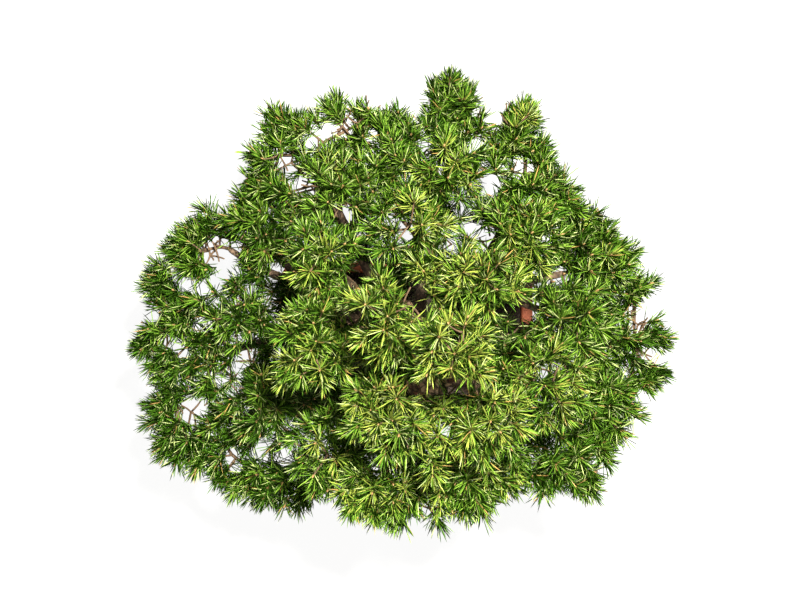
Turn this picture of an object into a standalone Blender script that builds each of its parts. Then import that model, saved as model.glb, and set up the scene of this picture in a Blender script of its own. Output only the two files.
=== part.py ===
"""A potted Japanese white pine bonsai, with its front towards -Y.

Metres, +Z up. The origin is the centre of the pot's underside, +X is to the
right of the tree's front and +Y is to its back. The trunk leans right as it
rises, each bough ends in one or two masses of foliage, and each mass grows
from one stem that starts at its bough's tip or at the trunk's.
"""

import math
import random

import bmesh
import bpy
import numpy as np
from mathutils import Matrix, Quaternion, Vector

MM = 0.001
MERGE = 0.002 * MM
UP = Vector((0, 0, 1))

# Pot: a rounded rectangle of fired clay, with a flat rim over a shallow lip.
POT_LENGTH = 310 * MM
POT_WIDTH = 192 * MM
POT_HEIGHT = 90 * MM
POT_CORNER = 24 * MM
CORNER_SEGMENTS = 4
LIP_HEIGHT = 14 * MM
LIP_OVERHANG = 5 * MM
RIM_WIDTH = 12 * MM
WALL_TAPER = 8 * MM
FLOOR_THICKNESS = 9 * MM
WALL = 8 * MM
EDGE = 1.5 * MM
FOOT_HEIGHT = 8 * MM
FOOT_SIZE = (56 * MM, 22 * MM)
FOOT_PLACE = (100 * MM, 64 * MM)
MIDDLE_FOOT_SIZE = (30 * MM, 150 * MM)
FOOT_SUNK = 3 * MM
DRAIN_RADIUS = 9 * MM
DRAIN_PLACE = 62 * MM
DRAIN_SIDES = 16

# Soil: level under the trunk, sloping a little to the pot's walls.
SOIL_TOP = 88 * MM
SOIL_EDGE = 81 * MM
SOIL_SLOPE = 22 * MM
GAP = 0.3 * MM
SIDE_GAP = 0.45 * MM

# Trunk: its line from the soil to its tip, and its thickness along it.
TRUNK_LINE = (
    (-46 * MM, 28 * MM, SOIL_TOP + GAP),
    (-41 * MM, 25 * MM, 132 * MM),
    (-12 * MM, 4 * MM, 188 * MM),
    (12 * MM, -24 * MM, 246 * MM),
    (8 * MM, -40 * MM, 306 * MM),
    (24 * MM, -43 * MM, 362 * MM),
    (43 * MM, -29 * MM, 418 * MM),
    (42 * MM, -12 * MM, 470 * MM),
)
TRUNK_FOOT_RADIUS = 30 * MM
TRUNK_TIP_RADIUS = 4.5 * MM
TRUNK_TAPER_POWER = 0.95
TRUNK_SIDES = 20
TRUNK_RINGS = 13
ROOT_BEARINGS = (18, 74, 128, 196, 248, 304)
ROOT_REACHES = (26 * MM, 17 * MM, 36 * MM, 28 * MM, 20 * MM, 30 * MM)
ROOT_HALF_ANGLE = 17
ROOT_FADE = 22 * MM
ROOT_FADE_POWER = 1.2

# Boughs: the limb each leaves, how far along it, the place of its tip in
# millimetres, and its foot's radius in millimetres.
BOUGHS = {
    "left": ("trunk", 0.14, (-222, -10, 206), 9.5),
    "left_front": ("trunk", 0.20, (-206, -108, 208), 9.0),
    "left_rear": ("trunk", 0.26, (-200, 104, 236), 8.5),
    "right": ("trunk", 0.23, (214, 0, 246), 8.5),
    "right_rear": ("trunk", 0.31, (172, 76, 280), 8.0),
    "back_left": ("trunk", 0.36, (-104, 200, 280), 8.5),
    "right_front": ("trunk", 0.41, (178, -108, 276), 7.5),
    "back": ("trunk", 0.44, (44, 226, 286), 8.0),
    "back_right": ("trunk", 0.50, (130, 184, 300), 7.5),
    "front_left": ("trunk", 0.56, (-22, -122, 338), 7.0),
    "front_right": ("trunk", 0.62, (82, -112, 344), 6.5),
    "upper_left": ("trunk", 0.67, (-72, 40, 372), 6.0),
    "upper_right": ("trunk", 0.71, (112, -42, 384), 6.0),
    "upper_rear": ("trunk", 0.76, (32, 80, 394), 5.5),
    "upper_front": ("trunk", 0.81, (32, -70, 412), 5.0),
    "crown_left": ("trunk", 0.86, (-4, 16, 440), 4.6),
    "left_inner": ("left", 0.52, (-176, 22, 222), 5.0),
    "left_front_inner": ("left_front", 0.50, (-150, -74, 232), 5.0),
    "left_rear_inner": ("left_rear", 0.55, (-156, 112, 252), 4.8),
    "right_inner": ("right_rear", 0.60, (160, 34, 310), 4.8),
    "back_left_inner": ("back_left", 0.52, (-74, 150, 306), 4.8),
    "back_inner": ("back", 0.56, (24, 166, 308), 4.8),
    "back_right_inner": ("back_right", 0.54, (108, 108, 338), 4.6),
    "front_left_inner": ("front_left", 0.45, (-72, -104, 316), 4.6),
}
BOUGH_TIP_RADIUS = 3.6 * MM
BOUGH_SIDES = 6
BOUGH_RINGS = 7
BOUGH_BENDS = (0.35, 0.72)
BOUGH_SWAY = 0.07
SWAY_RANGE = (0.6, 1.4)
BOUGH_EARLY_RISE = 0.08
BOUGH_LATE_RISE = 0.58

# Masses: the bough each grows from, its middle in millimetres, and its half
# sizes across in millimetres.
MASSES = {
    "left_tip": ("left", (-280, 14, 230), (47, 66)),
    "left_mid": ("left_inner", (-190, 28, 252), (48, 46)),
    "left_front_tip": ("left_front", (-262, -100, 230), (50, 58)),
    "left_front_edge": ("left_front", (-158, -162, 242), (62, 44)),
    "left_front_mid": ("left_front_inner", (-166, -72, 266), (54, 52)),
    "left_rear_tip": ("left_rear", (-232, 104, 254), (50, 46)),
    "left_rear_mid": ("left_rear_inner", (-168, 130, 282), (50, 56)),
    "right_tip": ("right", (256, -2, 272), (46, 68)),
    "right_rear_tip": ("right_rear", (196, 98, 302), (50, 50)),
    "right_mid": ("right_inner", (182, 22, 348), (50, 56)),
    "back_left_tip": ("back_left", (-144, 208, 292), (46, 56)),
    "back_left_edge": ("back_left", (-54, 242, 304), (54, 42)),
    "back_left_mid": ("back_left_inner", (-80, 168, 342), (50, 48)),
    "right_front_tip": ("right_front", (216, -84, 292), (50, 54)),
    "right_front_edge": ("right_front", (170, -140, 308), (50, 44)),
    "back_tip": ("back", (48, 264, 304), (42, 42)),
    "back_mid_left": ("back_inner", (-16, 204, 324), (46, 50)),
    "back_mid": ("back_inner", (54, 188, 350), (50, 46)),
    "back_right_tip": ("back_right", (116, 238, 314), (34, 40)),
    "back_right_edge": ("back_right", (149, 163, 324), (48, 46)),
    "back_right_mid": ("back_right_inner", (124, 118, 374), (52, 46)),
    "front_left_tip": ("front_left", (-16, -160, 370), (62, 48)),
    "front_left_mid": ("front_left_inner", (-88, -116, 346), (50, 52)),
    "front_right_tip": ("front_right", (76, -150, 370), (54, 48)),
    "upper_left_front": ("upper_left", (-98, -6, 402), (52, 52)),
    "upper_left_rear": ("upper_left", (-88, 90, 402), (50, 52)),
    "upper_right_tip": ("upper_right", (146, -40, 412), (52, 56)),
    "upper_rear_left": ("upper_rear", (0, 122, 410), (48, 46)),
    "upper_rear_right": ("upper_rear", (76, 64, 440), (54, 48)),
    "upper_front_left": ("upper_front", (-20, -76, 444), (56, 50)),
    "upper_front_right": ("upper_front", (80, -76, 444), (52, 48)),
    "crown_side": ("crown_left", (-22, 34, 472), (48, 50)),
    "crown_top": ("trunk", (46, -4, 512), (52, 46)),
}
MASS_RISE = 26 * MM
MASS_INSET = 22 * MM
STEM_DROP = 24 * MM

# Stems, twigs and tufts of needles.
STEM_RADIUS = 1.9 * MM
STEM_TIP_RADIUS = 1.4 * MM
STEM_SIDES = 4
STEM_SPREAD = 2.4 * MM
STEM_LEAD = 2 * MM
STEM_RINGS = 5
TWIG_RADIUS = 1.25 * MM
TWIG_TIP_RADIUS = 1.1 * MM
TWIG_SIDES = 3
TWIG_SHARES = (0.4, 0.97)
TWIG_STEPS = 6
TUFT_SPACING = 36 * MM
RING_OUT = (0.84, 1.06)
RING_SWING = 0.14
RING_LEAST = 4
TUFT_JITTER = 4 * MM
TUFT_CORE = 10 * MM
TUFT_REACH = 30 * MM
REACH_RANGE = (0.9, 1.06)
TUFT_STRETCH = 1.15
CORE_SPAN = 0.3
WAIST_SLOPE = 0.5
TUFT_SWEEP = 0.25
TUFT_TILT = math.radians(60)
TILT_SPREAD = 0.12
NEEDLE_SHARES = (1.0, 0.84, 0.7, 0.56)
NEEDLE_FOOT = 3.6 * MM
NEEDLE_TIP = 1.9 * MM
CLEAR = 0.6 * MM
TUFT_TRIES = 5
OWNERS = 100
SEED = 7
NEEDLE_SEED = 700

# Colours and roughness.
FINISHES = {
    "clay": ((0.42, 0.12, 0.06, 1.0), 0.75),
    "soil": ((0.035, 0.025, 0.02, 1.0), 0.95),
    "bark": ((0.19, 0.13, 0.09, 1.0), 0.9),
    "needles": ((0.08, 0.22, 0.03, 1.0), 0.55),
}


def clear_scene():
    """Removes whatever the scene holds at the start."""
    for thing in list(bpy.data.objects):
        bpy.data.objects.remove(thing)


def finish(name):
    """Gives the material of that name, made once."""
    found = bpy.data.materials.get(name)
    if found:
        return found
    colour, roughness = FINISHES[name]
    made = bpy.data.materials.new(name)
    made.use_nodes = True
    shader = made.node_tree.nodes["Principled BSDF"]
    shader.inputs["Base Color"].default_value = colour
    shader.inputs["Roughness"].default_value = roughness
    shader.inputs["Metallic"].default_value = 0.0
    made.diffuse_color = colour
    return made


def place(name, bm, collection=None):
    """Turns a bmesh into an object of the scene, or of a collection of helpers."""
    bmesh.ops.recalc_face_normals(bm, faces=bm.faces)
    mesh = bpy.data.meshes.new(name)
    bm.to_mesh(mesh)
    bm.free()
    thing = bpy.data.objects.new(name, mesh)
    (collection or bpy.context.scene.collection).objects.link(thing)
    return thing


def helpers(name):
    """Makes an empty collection for shapes that are fused into one solid."""
    collection = bpy.data.collections.new(name)
    bpy.context.scene.collection.children.link(collection)
    return collection


def boolean(thing, operation, solver, cutter=None, collection=None):
    """Gives the mesh that one Boolean makes of an object."""
    modifier = thing.modifiers.new(operation, "BOOLEAN")
    modifier.operation = operation
    modifier.solver = solver
    if collection:
        modifier.operand_type = "COLLECTION"
        modifier.collection = collection
    else:
        modifier.object = cutter
    graph = bpy.context.evaluated_depsgraph_get()
    made = bpy.data.meshes.new_from_object(thing.evaluated_get(graph))
    thing.modifiers.remove(modifier)
    return made


def is_closed(mesh):
    """Tells whether every edge of a mesh has two faces."""
    bm = bmesh.new()
    bm.from_mesh(mesh)
    closed = len(bm.faces) > 0 and all(edge.is_manifold for edge in bm.edges)
    bm.free()
    return closed


def shells(bm):
    """Gives the separate bodies of a bmesh, each as a list of faces."""
    left = set(bm.faces)
    found = []
    while left:
        front = [left.pop()]
        body = []
        while front:
            face = front.pop()
            body.append(face)
            for edge in face.edges:
                for other in edge.link_faces if len(edge.link_faces) == 2 else ():
                    if other in left:
                        left.remove(other)
                        front.append(other)
        found.append(body)
    return found


def tidy(mesh):
    """Keeps a mesh's largest body: scraps are dropped, sealed hollows filled."""
    bm = bmesh.new()
    bm.from_mesh(mesh)
    bmesh.ops.dissolve_degenerate(bm, edges=bm.edges, dist=MERGE)
    bmesh.ops.triangulate(bm, faces=bm.faces)
    bodies = sorted(shells(bm), key=len)
    for body in bodies[:-1]:
        bmesh.ops.delete(bm, geom=body, context="FACES")
    bm.to_mesh(mesh)
    bm.free()


def fuse(thing, collection):
    """Joins an object and a collection of closed shapes into one solid."""
    for solver in ("EXACT", "MANIFOLD"):
        mesh = boolean(thing, "UNION", solver, collection=collection)
        tidy(mesh)
        if is_closed(mesh):
            break
    thing.data = mesh
    for helper in list(collection.objects):
        bpy.data.objects.remove(helper)
    bpy.data.collections.remove(collection)


def cut(thing, cutter):
    """Cuts an object with a helper, which is then removed."""
    mesh = boolean(thing, "DIFFERENCE", "EXACT", cutter=cutter)
    tidy(mesh)
    thing.data = mesh
    bpy.data.objects.remove(cutter)


# Lines and limbs

def smooth_line(points, count):
    """Reads evenly spaced points from a smooth curve through the given ones."""
    line = [Vector(point) for point in points]
    ends = [line[0] * 2 - line[1]] + line + [line[-1] * 2 - line[-2]]
    found = []
    for step in range(count):
        place_along = step / (count - 1) * (len(line) - 1)
        span = min(int(place_along), len(line) - 2)
        t = place_along - span
        a, b, c, d = ends[span:span + 4]
        found.append(0.5 * (2 * b + (c - a) * t + (2 * a - 5 * b + 4 * c - d) * t ** 2
                            + (3 * b - a - 3 * c + d) * t ** 3))
    return found


def bezier(first, second, third, last, count):
    """Reads evenly spaced points from a cubic curve."""
    found = []
    for step in range(count):
        t = step / (count - 1)
        s = 1 - t
        found.append(first * s ** 3 + second * 3 * s * s * t + third * 3 * s * t * t + last * t ** 3)
    return found


def along(line, share):
    """Gives the place that is a share of the way along a line of points."""
    reach = share * (len(line) - 1)
    span = min(int(reach), len(line) - 2)
    return line[span].lerp(line[span + 1], reach - span)


def taper(foot, tip, count, power=1.0):
    """Gives the radii from a limb's foot to its tip."""
    return [tip + (foot - tip) * (1 - step / (count - 1)) ** power for step in range(count)]


def ring_frames(line, radii, level):
    """Gives the place, turn and size of each ring along a limb."""
    turn = Quaternion()
    heading = UP
    frames = []
    for index, (point, radius) in enumerate(zip(line, radii)):
        before = line[max(index - 1, 0)]
        after = line[min(index + 1, len(line) - 1)]
        if not level:
            turn = heading.rotation_difference((after - before).normalized()) @ turn
            heading = (after - before).normalized()
        frames.append(Matrix.LocRotScale(point, turn, Vector((radius, radius, radius))))
    return frames


def extrude_end(bm, end):
    """Extrudes an end face, and gives the new end face and its vertices."""
    is_first = len(bm.faces) == 1
    made = bmesh.ops.extrude_face_region(bm, geom=[end])["geom"]
    if not is_first:
        bmesh.ops.delete(bm, geom=[end], context="FACES_ONLY")
    new_end = next(item for item in made if isinstance(item, bmesh.types.BMFace))
    return new_end, list(new_end.verts)


def limb(line, radii, sides, level=False):
    """Extrudes a disc, ring by ring, along a line. Level rings lie flat."""
    frames = ring_frames(line, radii, level)
    bm = bmesh.new()
    bmesh.ops.create_circle(bm, cap_ends=True, segments=sides, radius=1.0, matrix=frames[0])
    end = bm.faces[:][0]
    for before, after in zip(frames, frames[1:]):
        end, ring = extrude_end(bm, end)
        bmesh.ops.transform(bm, matrix=after @ before.inverted(), verts=ring)
    return bm


class Room:
    """Straight stretches that are already taken, with thickness and owner."""

    def __init__(self):
        self.starts = np.zeros((0, 3))
        self.ends = np.zeros((0, 3))
        self.radii = np.zeros(0)
        self.owners = np.zeros(0, dtype=int)

    def take(self, start, end, radius, owner):
        """Marks a stretch as taken."""
        self.starts = np.vstack((self.starts, tuple(start)))
        self.ends = np.vstack((self.ends, tuple(end)))
        self.radii = np.append(self.radii, radius)
        self.owners = np.append(self.owners, owner)

    def take_line(self, line, radii, owner):
        """Marks each stretch of a limb as taken."""
        for start, end, radius in zip(line, line[1:], radii):
            self.take(start, end, radius, owner)

    def is_free(self, start, end, radius, but=()):
        """Tells whether a stretch keeps clear of all others than its own."""
        others = ~np.isin(self.owners, but)
        if not others.any():
            return True
        p = np.array(start)
        run = np.array(end) - p
        starts = self.starts[others]
        runs = self.ends[others] - starts
        apart = p - starts
        run_run = max(run @ run, 1e-12)
        runs_runs = np.maximum((runs * runs).sum(axis=1), 1e-12)
        run_runs = runs @ run
        run_apart = apart @ run
        runs_apart = (runs * apart).sum(axis=1)
        parallel = np.maximum(run_run * runs_runs - run_runs ** 2, 1e-18)
        s = np.clip((run_runs * runs_apart - run_apart * runs_runs) / parallel, 0, 1)
        t = np.clip((run_runs * s + runs_apart) / runs_runs, 0, 1)
        s = np.clip((run_runs * t - run_apart) / run_run, 0, 1)
        between = p + s[:, None] * run - starts - t[:, None] * runs
        gaps = np.linalg.norm(between, axis=1) - self.radii[others]
        return gaps.min() > radius + CLEAR


# Pot and soil

def loft_slab(length, width, corner, steps):
    """Raises a rounded rectangle through steps of (inset, height)."""
    bm = bmesh.new()
    bmesh.ops.create_grid(bm, x_segments=1, y_segments=1, size=0.5)
    bmesh.ops.scale(bm, vec=(length, width, 1), verts=bm.verts)
    bmesh.ops.bevel(bm, geom=bm.verts[:], offset=corner, segments=CORNER_SEGMENTS,
                    affect="VERTICES", profile=0.5, material=-1)
    end = bm.faces[:][0]
    ring = bm.verts[:]
    inset = 0.0
    for index, (next_inset, height) in enumerate(steps):
        if index > 0:
            end, ring = extrude_end(bm, end)
        wide = (length - 2 * next_inset) / (length - 2 * inset)
        deep = (width - 2 * next_inset) / (width - 2 * inset)
        for vert in ring:
            vert.co = (vert.co.x * wide, vert.co.y * deep, height)
        inset = next_inset
    return bm


def block(name, size, place_at, height, collection):
    """Makes a foot of the pot, standing on the ground."""
    bm = bmesh.new()
    bmesh.ops.create_cube(bm, size=1.0)
    bmesh.ops.scale(bm, vec=(size[0], size[1], height), verts=bm.verts)
    bmesh.ops.translate(bm, vec=(place_at[0], place_at[1], height / 2), verts=bm.verts)
    upright = [edge for edge in bm.edges if abs(edge.verts[0].co.z - edge.verts[1].co.z) > EDGE]
    bmesh.ops.bevel(bm, geom=upright, offset=2 * EDGE, segments=1, affect="EDGES",
                    profile=0.5, material=-1)
    return place(name, bm, collection)


def make_pot():
    """Makes the pot: walls, lip, rim, inside, feet and two drain holes."""
    body_inset = LIP_OVERHANG + WALL_TAPER
    lip_foot = POT_HEIGHT - LIP_HEIGHT
    floor_top = FOOT_HEIGHT + FLOOR_THICKNESS
    outside = (
        (body_inset + EDGE, FOOT_HEIGHT),
        (body_inset, FOOT_HEIGHT + EDGE),
        (LIP_OVERHANG, lip_foot - EDGE),
        (0.0, lip_foot),
        (0.0, POT_HEIGHT - EDGE),
        (EDGE, POT_HEIGHT),
    )
    inside = (
        (RIM_WIDTH, POT_HEIGHT),
        (RIM_WIDTH + EDGE, POT_HEIGHT - EDGE),
        (body_inset + WALL, floor_top),
    )
    pot = place("pot", loft_slab(POT_LENGTH, POT_WIDTH, POT_CORNER, outside + inside))
    feet = helpers("feet")
    reach = FOOT_HEIGHT + FOOT_SUNK
    for side in (-1, 1):
        for end in (-1, 1):
            block("foot", FOOT_SIZE, (side * FOOT_PLACE[0], end * FOOT_PLACE[1]), reach, feet)
    block("middle_foot", MIDDLE_FOOT_SIZE, (0, 0), reach, feet)
    fuse(pot, feet)
    for side in (-1, 1):
        bm = bmesh.new()
        bmesh.ops.create_cone(bm, cap_ends=True, segments=DRAIN_SIDES, radius1=DRAIN_RADIUS,
                              radius2=DRAIN_RADIUS, depth=4 * FLOOR_THICKNESS,
                              matrix=Matrix.Translation((side * DRAIN_PLACE, 0, floor_top)))
        cut(pot, place("drain", bm))
    pot.data.materials.append(finish("clay"))


def make_soil():
    """Makes the soil, 0.3 mm clear of the pot's walls and floor."""
    floor_top = FOOT_HEIGHT + FLOOR_THICKNESS
    wall_foot = LIP_OVERHANG + WALL_TAPER + WALL
    wall_head = RIM_WIDTH + EDGE
    depth = POT_HEIGHT - EDGE - floor_top
    wall_at_edge = wall_head + (wall_foot - wall_head) * (POT_HEIGHT - EDGE - SOIL_EDGE) / depth
    steps = (
        (wall_foot + SIDE_GAP, floor_top + GAP),
        (wall_at_edge + SIDE_GAP, SOIL_EDGE),
        (wall_at_edge + SOIL_SLOPE, SOIL_TOP),
    )
    soil = place("soil", loft_slab(POT_LENGTH, POT_WIDTH, POT_CORNER, steps))
    soil.data.materials.append(finish("soil"))


# Trunk and boughs

def root_flare(bearing):
    """Gives how far the surface roots reach past the trunk at a bearing."""
    reach = 0.0
    for root, length in zip(ROOT_BEARINGS, ROOT_REACHES):
        off = (bearing - root + 180) % 360 - 180
        reach = max(reach, length * math.exp(-(off / ROOT_HALF_ANGLE) ** 2))
    return reach


def trunk_line():
    """Gives the trunk's line from soil to tip, and its radius at each ring."""
    line = smooth_line(TRUNK_LINE, TRUNK_RINGS)
    return line, taper(TRUNK_FOOT_RADIUS, TRUNK_TIP_RADIUS, TRUNK_RINGS, TRUNK_TAPER_POWER)


def trunk_shape(extra):
    """Makes the trunk's mesh, thicker all round by the extra where one is given."""
    line, radii = trunk_line()
    bm = limb(line, [radius + extra for radius in radii], TRUNK_SIDES, level=True)
    for vert in bm.verts:
        middle = min(line, key=lambda point: abs(point.z - vert.co.z))
        out = (vert.co - middle).normalized()
        rise = vert.co.z - line[0].z
        bearing = math.degrees(math.atan2(out.y, out.x))
        vert.co += out * root_flare(bearing) * math.exp(-(rise / ROOT_FADE) ** ROOT_FADE_POWER)
    return bm


def make_trunk():
    """Makes the trunk, from a flat cut at the soil to its tip."""
    trunk = place("trunk", trunk_shape(0.0))
    trunk.data.materials.append(finish("bark"))
    return trunk_line()


def bough_line(foot, tip, luck):
    """Draws a bough that leaves almost level, sways, and rises to its tip."""
    run = tip - foot
    side = run.cross(UP).normalized() * run.length * BOUGH_SWAY * luck.choice((-1, 1))
    early = foot + run * BOUGH_BENDS[0] + side * luck.uniform(*SWAY_RANGE)
    early.z = foot.z + run.z * BOUGH_EARLY_RISE
    late = foot + run * BOUGH_BENDS[1] - side * luck.uniform(*SWAY_RANGE)
    late.z = foot.z + run.z * BOUGH_LATE_RISE
    return bezier(foot, early, late, tip, BOUGH_RINGS)


def make_bough(name, limbs, luck):
    """Makes one bough, cut 0.3 mm clear of the limb that it leaves."""
    parent, share, tip, radius = BOUGHS[name]
    parent_line, parent_radii = limbs[parent]
    line = bough_line(along(parent_line, share), Vector(tip) * MM, luck)
    radii = taper(radius * MM, BOUGH_TIP_RADIUS, BOUGH_RINGS)
    bough = place("bough_" + name, limb(line, radii, BOUGH_SIDES))
    if parent == "trunk":
        clearing = trunk_shape(GAP)
    else:
        clearing = limb(parent_line, [radius + GAP for radius in parent_radii], BOUGH_SIDES)
    cut(bough, place("clearing", clearing))
    bough.data.materials.append(finish("bark"))
    return line, radii


# Masses of foliage

def stem_starts(bough, limbs):
    """Gives each mass at a bough's tip its own place on that tip."""
    line, _ = limbs[bough]
    tip = line[-1]
    heading = UP if bough == "trunk" else (line[-1] - line[-2]).normalized()
    names = [name for name, row in MASSES.items() if row[0] == bough]
    start = tip + heading * GAP
    if len(names) == 1:
        return {names[0]: (start, heading)}
    first, second = (Vector(MASSES[name][1]) for name in names)
    apart = first - second
    apart = (apart - heading * apart.dot(heading)).normalized() * STEM_SPREAD
    return {names[0]: (start + apart, heading), names[1]: (start - apart, heading)}


def stem_line(name, start, heading):
    """Draws a mass's stem, from its bough's tip to a hub under its middle."""
    hub = Vector(MASSES[name][1]) * MM - UP * STEM_DROP
    lead = start + heading * STEM_LEAD
    bend = (hub - lead).length / 3
    arrival = ((hub - lead).normalized() + UP).normalized()
    return [start] + bezier(lead, lead + heading * bend, hub - arrival * bend, hub, STEM_RINGS - 1)


def tuft_sites(name, luck):
    """Spreads tufts over a mass's low dome: one in the middle, the rest round it."""
    _, middle, half = MASSES[name]
    middle = Vector(middle) * MM
    wide = half[0] * MM - MASS_INSET
    deep = half[1] * MM - MASS_INSET
    ring = max(RING_LEAST, round(math.pi * (wide + deep) / TUFT_SPACING))
    spin = luck.uniform(0, math.tau)
    sites = []
    for index in range(ring + 1):
        out = 0.0 if index == 0 else luck.uniform(*RING_OUT)
        bearing = spin + math.tau * index / ring + luck.uniform(-RING_SWING, RING_SWING)
        across = Vector((math.cos(bearing), math.sin(bearing), 0)) * out
        shift = Vector([luck.uniform(-TUFT_JITTER, TUFT_JITTER) for _ in range(3)])
        dome = MASS_RISE * (0.5 - out * out)
        site = middle + Vector((across.x * wide, across.y * deep, dome)) + shift
        tilt = TUFT_TILT * out + luck.uniform(-TILT_SPREAD, TILT_SPREAD)
        lean = across.normalized() if index else Vector((1, 0, 0))
        sites.append((site, (UP * math.cos(tilt) + lean * math.sin(tilt)).normalized()))
    return sites


def twig_line(stem, site):
    """Draws a twig from the stem's nearest outer stretch into a tuft."""
    first, last = TWIG_SHARES
    shares = [first + (last - first) * step / TWIG_STEPS for step in range(TWIG_STEPS + 1)]
    foot = min((along(stem, share) for share in shares), key=lambda point: (point - site).length)
    return [foot, site]


def tuft_turn(lean, luck):
    """Gives the turn that stands a tuft along its lean."""
    return lean.to_track_quat("Z", "X") @ Quaternion(UP, luck.uniform(0, math.tau))


def tuft_core():
    """Starts a tuft: a slim core of twenty faces, and the ten round its waist."""
    bm = bmesh.new()
    bmesh.ops.create_icosphere(bm, subdivisions=1, radius=TUFT_CORE)
    bmesh.ops.scale(bm, vec=(1, 1, TUFT_STRETCH), verts=bm.verts)
    waist = [face for face in bm.faces if abs(face.normal.z) < WAIST_SLOPE]
    return bm, waist


def make_tuft(site, turn, tips, collection):
    """Makes a tuft: needles stand out of its core's waist and top."""
    bm, waist = tuft_core()
    top = max(bm.verts, key=lambda vert: vert.co.z)
    bottom = min(bm.verts, key=lambda vert: vert.co.z)
    for face, tip in zip(waist, tips[1:]):
        if tip is not None:
            point = bmesh.ops.poke(bm, faces=[face])["verts"][0]
            point.co = tip
    if tips[0] is not None:
        top.co = tips[0]
    bmesh.ops.dissolve_verts(bm, verts=[bottom])
    bmesh.ops.transform(bm, matrix=Matrix.LocRotScale(site, turn, None), verts=bm.verts)
    place("tuft", bm, collection)


def needle_tips(site, turn, wood, green, owner, luck):
    """Gives each needle the longest reach that keeps it clear of all else."""
    bm, waist = tuft_core()
    feet = [UP * TUFT_CORE] + [face.calc_center_median() for face in waist]
    bm.free()
    tips = []
    for foot in feet:
        direction = (foot.normalized() + UP * TUFT_SWEEP).normalized()
        reach = TUFT_REACH * luck.uniform(*REACH_RANGE)
        start = site + turn @ foot
        tips.append(None)
        for share in NEEDLE_SHARES:
            tip = direction * reach * share
            end = site + turn @ tip
            middle = start.lerp(end, 0.5)
            if all(room.is_free(start, middle, NEEDLE_FOOT, (owner,))
                   and room.is_free(middle, end, NEEDLE_TIP, (owner,))
                   for room in (wood, green)):
                tips[-1] = tip
                green.take(start, middle, NEEDLE_FOOT, owner)
                green.take(middle, end, NEEDLE_TIP, owner)
                break
    return tips


def plan_twigs(names, stems, wood, green):
    """Places every mass's twigs and tuft cores where they keep clear."""
    plans = {name: [] for name in names}
    for number, name in enumerate(names):
        luck = random.Random(SEED + number)
        own = [OWNERS * (number + 1) + index for index in range(OWNERS)]
        for index, (middle, lean) in enumerate(tuft_sites(name, luck)):
            owner = own[index + 1]
            for attempt in range(TUFT_TRIES):
                nudge = [luck.uniform(-1, 1) * TUFT_JITTER * attempt for _ in range(3)]
                site = middle + Vector(nudge)
                twig = twig_line(stems[name], site)
                span = lean * TUFT_CORE * CORE_SPAN
                core = (site - span, site + span)
                if (wood.is_free(*twig, TWIG_RADIUS, own) and green.is_free(*twig, TWIG_RADIUS)
                        and wood.is_free(*core, TUFT_CORE) and green.is_free(*core, TUFT_CORE)):
                    wood.take(*twig, TWIG_RADIUS, owner)
                    green.take(*core, TUFT_CORE, owner)
                    plans[name].append((site, tuft_turn(lean, luck), twig, owner))
                    break
    return plans


def make_mass(name, stem, plan, wood, green, luck):
    """Fuses one mass: its stem, its twigs and their tufts."""
    radii = taper(STEM_RADIUS, STEM_TIP_RADIUS, STEM_RINGS)
    mass = place("mass_" + name, limb(stem, radii, STEM_SIDES))
    pieces = helpers(name)
    for site, turn, twig, owner in plan:
        place("twig", limb(twig, taper(TWIG_RADIUS, TWIG_TIP_RADIUS, 2), TWIG_SIDES), pieces)
        make_tuft(site, turn, needle_tips(site, turn, wood, green, owner, luck), pieces)
    fuse(mass, pieces)
    mass.data.materials.append(finish("needles"))


def make_masses(limbs, wood):
    """Grows every mass of foliage from the limbs, each in its own space."""
    green = Room()
    stems = {}
    for bough in ["trunk"] + list(BOUGHS):
        if any(row[0] == bough for row in MASSES.values()):
            for name, (start, heading) in stem_starts(bough, limbs).items():
                stems[name] = stem_line(name, start, heading)
    names = list(MASSES)
    for number, name in enumerate(names):
        wood.take_line(stems[name], [STEM_RADIUS] * STEM_RINGS, OWNERS * (number + 1))
    plans = plan_twigs(names, stems, wood, green)
    for number, name in enumerate(names):
        make_mass(name, stems[name], plans[name], wood, green, random.Random(NEEDLE_SEED + number))


def main():
    clear_scene()
    make_pot()
    make_soil()
    limbs = {"trunk": make_trunk()}
    wood = Room()
    wood.take_line(*limbs["trunk"], 0)
    for number, name in enumerate(BOUGHS):
        limbs[name] = make_bough(name, limbs, random.Random(SEED + number))
        wood.take_line(*limbs[name], number + 1)
    make_masses(limbs, wood)


main()
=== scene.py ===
"""The looks of a potted Japanese white pine bonsai, seen from straight above.

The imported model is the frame. Trunk and boughs get bark with relief, each mass
of foliage is grown again by the source's rule with finer twigs and real-size
needles, and pot and soil get their detail. Metres, +Z up.
"""

import math
import random

import bmesh
import bpy
import numpy as np
from mathutils import Matrix, Quaternion, Vector, noise


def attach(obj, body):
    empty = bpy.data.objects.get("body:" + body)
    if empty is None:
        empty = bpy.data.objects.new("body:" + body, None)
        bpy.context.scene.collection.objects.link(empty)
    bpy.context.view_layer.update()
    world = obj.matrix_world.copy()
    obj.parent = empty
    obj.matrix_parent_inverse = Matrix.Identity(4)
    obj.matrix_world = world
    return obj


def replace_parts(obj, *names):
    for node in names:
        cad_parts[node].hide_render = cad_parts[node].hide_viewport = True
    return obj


MM = 0.001
UP = Vector((0, 0, 1))

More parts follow.
